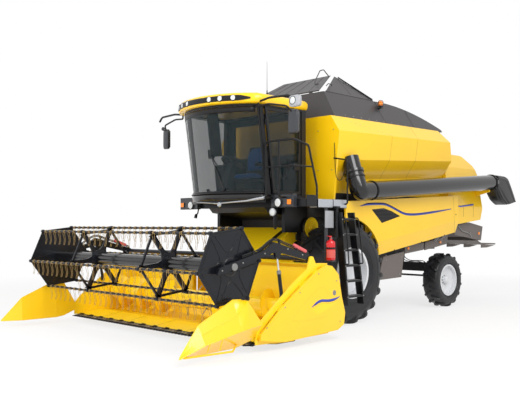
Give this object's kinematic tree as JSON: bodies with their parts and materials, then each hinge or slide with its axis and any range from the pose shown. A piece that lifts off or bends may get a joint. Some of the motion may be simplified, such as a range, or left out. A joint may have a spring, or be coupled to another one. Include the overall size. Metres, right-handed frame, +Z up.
{
  "type": "combine harvester",
  "caption": "Yellow combine harvester with a grain header and tined reel in front, cab, open grain tank hatches, folded unloading tube, straw hood and steered rear wheels.",
  "frame": {"origin": "on the ground under the middle of the whole machine", "axes": "+Z up, +Y rearwards along the machine's length (the header is at -Y), +X to the machine's left"},
  "size_m": [4.9, 10.297, 4.5528],
  "materials": {
    "yellow_paint": "gloss machine yellow",
    "black_paint": "gloss black",
    "grey_paint": "matt grey-brown",
    "dark_panel": "matt dark grey plastic",
    "tyre_rubber": "dusty black rubber",
    "rim_paint": "satin white",
    "tinted_glass": "clear, faint blue-green tint",
    "cab_trim": "matt grey plastic",
    "seat_cloth": "woven blue cloth",
    "silver_metal": "brushed",
    "red_paint": "gloss red",
    "orange_lens": "translucent orange",
    "bright_steel": "worn bright steel",
    "chrome_rod": "polished chrome"
  },
  "bodies": {
    "machine": {"front_axle": "black_paint", "rear_axle": "black_paint", "threshing_body": "yellow_paint", "engine_block": "dark_panel", "grain_tank": "yellow_paint", "engine_hood": "yellow_paint", "tank_extension": "dark_panel", "lower_skirts": "grey_paint", "straw_hood": "yellow_paint", "straw_chopper": "grey_paint", "platform": "silver_metal", "light_bars": "dark_panel", "cab_body": "black_paint", "cab_roof": "yellow_paint", "cab_glass": "tinted_glass", "cab_interior": "cab_trim", "seat_cushions": "seat_cloth", "cab_mirrors": "dark_panel", "handrails": "black_paint", "fire_extinguisher": "red_paint", "beacon_and_antenna": "orange_lens", "auger_turret": "black_paint"},
    "drive_wheel_left": {"drive_tyre_left": "tyre_rubber", "drive_rim_left": "rim_paint"},
    "drive_wheel_right": {"drive_tyre_right": "tyre_rubber", "drive_rim_right": "rim_paint"},
    "steering_knuckle_left": {"steering_knuckle_left": "black_paint"},
    "steering_knuckle_right": {"steering_knuckle_right": "black_paint"},
    "steer_wheel_left": {"steer_tyre_left": "tyre_rubber", "steer_rim_left": "rim_paint"},
    "steer_wheel_right": {"steer_tyre_right": "tyre_rubber", "steer_rim_right": "rim_paint"},
    "track_rod": {"track_rod": "bright_steel"},
    "header": {"feeder_house": "yellow_paint", "header_frame": "yellow_paint", "header_ends": "yellow_paint", "knife_bar": "black_paint"},
    "header_auger": {"header_auger": "yellow_paint"},
    "reel_arms": {"reel_arms": "dark_panel"},
    "reel": {"reel": "black_paint"},
    "lift_barrels": {"lift_cylinder_barrels": "black_paint"},
    "lift_rods": {"lift_cylinder_rods": "chrome_rod"},
    "reel_lift_barrels": {"reel_cylinder_barrels": "black_paint"},
    "reel_lift_rods": {"reel_cylinder_rods": "chrome_rod"},
    "unloading_tube": {"unloading_tube": "black_paint"},
    "ladder": {"ladder": "silver_metal"},
    "cab_door": {"door_frame": "black_paint", "door_glass": "tinted_glass"},
    "side_panel_left": {"side_panel_left": "yellow_paint"},
    "side_panel_right": {"side_panel_right": "yellow_paint"},
    "hatch_front": {"hatch_front": "dark_panel"},
    "hatch_left": {"hatch_left": "dark_panel"},
    "hatch_right": {"hatch_right": "dark_panel"},
    "tine_bar_1": {"tine_bar_1": "bright_steel"},
    "tine_bar_2": {"tine_bar_2": "bright_steel"},
    "tine_bar_3": {"tine_bar_3": "bright_steel"},
    "tine_bar_4": {"tine_bar_4": "bright_steel"},
    "tine_bar_5": {"tine_bar_5": "bright_steel"},
    "tine_bar_6": {"tine_bar_6": "bright_steel"}
  },
  "joints": [
    {"name": "drive_wheel_left_spin", "type": "hinge", "parent": "machine", "child": "drive_wheel_left", "pos_m": [1.225, -0.742, 0.87], "axis": [1, 0, 0], "continuous": true},
    {"name": "drive_wheel_right_spin", "type": "hinge", "parent": "machine", "child": "drive_wheel_right", "pos_m": [-1.225, -0.742, 0.87], "axis": [1, 0, 0], "continuous": true},
    {"name": "steer_left", "type": "hinge", "parent": "machine", "child": "steering_knuckle_left", "pos_m": [0.87, 2.715, 0.8], "axis": [0, 0, 1], "range_deg": [-35, 35]},
    {"name": "steer_right", "type": "hinge", "parent": "machine", "child": "steering_knuckle_right", "pos_m": [-0.87, 2.715, 0.8], "axis": [0, 0, 1], "range_deg": [-35, 35]},
    {"name": "steer_wheel_left_spin", "type": "hinge", "parent": "steering_knuckle_left", "child": "steer_wheel_left", "pos_m": [1.15, 2.715, 0.55], "axis": [1, 0, 0], "continuous": true},
    {"name": "steer_wheel_right_spin", "type": "hinge", "parent": "steering_knuckle_right", "child": "steer_wheel_right", "pos_m": [-1.15, 2.715, 0.55], "axis": [1, 0, 0], "continuous": true},
    {"name": "track_rod_slide", "type": "slide", "parent": "machine", "child": "track_rod", "axis": [1, 0, 0], "range_m": [-0.1181, 0.1181]},
    {"name": "header_lift", "type": "hinge", "parent": "machine", "child": "header", "pos_m": [0, -1.242, 1.48], "axis": [-1, 0, 0], "range_deg": [0, 22]},
    {"name": "header_auger_spin", "type": "hinge", "parent": "header", "child": "header_auger", "pos_m": [0, -2.972, 0.48], "axis": [1, 0, 0], "continuous": true},
    {"name": "reel_arm_lift", "type": "hinge", "parent": "header", "child": "reel_arms", "pos_m": [0, -2.727, 1.205], "axis": [-1, 0, 0], "range_deg": [-3, 18]},
    {"name": "reel_spin", "type": "hinge", "parent": "reel_arms", "child": "reel", "pos_m": [0, -4.192, 1.148], "axis": [1, 0, 0], "continuous": true},
    {"name": "tine_bar_1_turn", "type": "hinge", "parent": "reel", "child": "tine_bar_1", "pos_m": [0, -4.51277, 1.57992], "axis": [1, 0, 0], "continuous": true},
    {"name": "tine_bar_2_turn", "type": "hinge", "parent": "reel", "child": "tine_bar_2", "pos_m": [0, -4.72644, 1.08616], "axis": [1, 0, 0], "continuous": true},
    {"name": "tine_bar_3_turn", "type": "hinge", "parent": "reel", "child": "tine_bar_3", "pos_m": [0, -4.40567, 0.65425], "axis": [1, 0, 0], "continuous": true},
    {"name": "tine_bar_4_turn", "type": "hinge", "parent": "reel", "child": "tine_bar_4", "pos_m": [0, -3.87123, 0.71608], "axis": [1, 0, 0], "continuous": true},
    {"name": "tine_bar_5_turn", "type": "hinge", "parent": "reel", "child": "tine_bar_5", "pos_m": [0, -3.65756, 1.20984], "axis": [1, 0, 0], "continuous": true},
    {"name": "tine_bar_6_turn", "type": "hinge", "parent": "reel", "child": "tine_bar_6", "pos_m": [0, -3.97833, 1.64175], "axis": [1, 0, 0], "continuous": true},
    {"name": "lift_barrel_swing", "type": "hinge", "parent": "machine", "child": "lift_barrels", "pos_m": [0, -1.042, 0.56], "axis": [-1, 0, 0], "range_deg": [-1, 19.81]},
    {"name": "lift_rod_slide", "type": "slide", "parent": "lift_barrels", "child": "lift_rods", "axis": [0, -0.9864, -0.1644], "range_m": [-0.005, 0.3597]},
    {"name": "reel_barrel_swing", "type": "hinge", "parent": "header", "child": "reel_lift_barrels", "pos_m": [0, -3.292, 0.7], "axis": [-1, 0, 0], "range_deg": [-1.95, 6.72]},
    {"name": "reel_rod_slide", "type": "slide", "parent": "reel_lift_barrels", "child": "reel_lift_rods", "axis": [0, -0.1615, 0.9869], "range_m": [-0.0357, 0.1989]},
    {"name": "unloading_tube_swing", "type": "hinge", "parent": "machine", "child": "unloading_tube", "pos_m": [1.6, -0.702, 2.26], "axis": [0.309, 0, -0.9511], "range_deg": [0, 95]},
    {"name": "ladder_swing", "type": "hinge", "parent": "machine", "child": "ladder", "pos_m": [1.68, -1.392, 1.3], "axis": [0, 0, -1], "range_deg": [0, 95]},
    {"name": "cab_door_swing", "type": "hinge", "parent": "machine", "child": "cab_door", "pos_m": [0.96, -2.148, 2.197], "axis": [0, 0.1353, -0.9908], "range_deg": [0, 50]},
    {"name": "side_panel_left_lift", "type": "hinge", "parent": "machine", "child": "side_panel_left", "pos_m": [1.42, -0.872, 2.088], "axis": [0, -0.9985, -0.0547], "range_deg": [0, 65]},
    {"name": "side_panel_right_lift", "type": "hinge", "parent": "machine", "child": "side_panel_right", "pos_m": [-1.42, -0.872, 2.088], "axis": [0, 0.9985, 0.0547], "range_deg": [0, 65]},
    {"name": "hatch_front_close", "type": "hinge", "parent": "machine", "child": "hatch_front", "pos_m": [0, -0.902, 4.05], "axis": [-1, 0, 0], "range_deg": [0, 30.8]},
    {"name": "hatch_left_close", "type": "hinge", "parent": "machine", "child": "hatch_left", "pos_m": [1, -0.742, 4.0303], "axis": [0, -1, 0], "range_deg": [0, 48.3]},
    {"name": "hatch_right_close", "type": "hinge", "parent": "machine", "child": "hatch_right", "pos_m": [-1, -0.742, 4.0303], "axis": [0, 1, 0], "range_deg": [0, 48.3]}
  ],
  "couplings": [
    {"joint": "steer_right", "follows": "steer_left", "ratio": 1},
    {"joint": "track_rod_slide", "follows": "steer_left", "m_per_rad": 0.19},
    {"joint": "lift_barrel_swing", "follows": "header_lift", "ratio": 0.8552},
    {"joint": "lift_rod_slide", "follows": "header_lift", "m_per_rad": 0.9238},
    {"joint": "reel_barrel_swing", "follows": "reel_arm_lift", "ratio": 0.3176},
    {"joint": "reel_rod_slide", "follows": "reel_arm_lift", "m_per_rad": 0.6237},
    {"joint": "tine_bar_1_turn", "follows": "reel_spin", "ratio": -1},
    {"joint": "tine_bar_2_turn", "follows": "reel_spin", "ratio": -1},
    {"joint": "tine_bar_3_turn", "follows": "reel_spin", "ratio": -1},
    {"joint": "tine_bar_4_turn", "follows": "reel_spin", "ratio": -1},
    {"joint": "tine_bar_5_turn", "follows": "reel_spin", "ratio": -1},
    {"joint": "tine_bar_6_turn", "follows": "reel_spin", "ratio": -1}
  ]
}
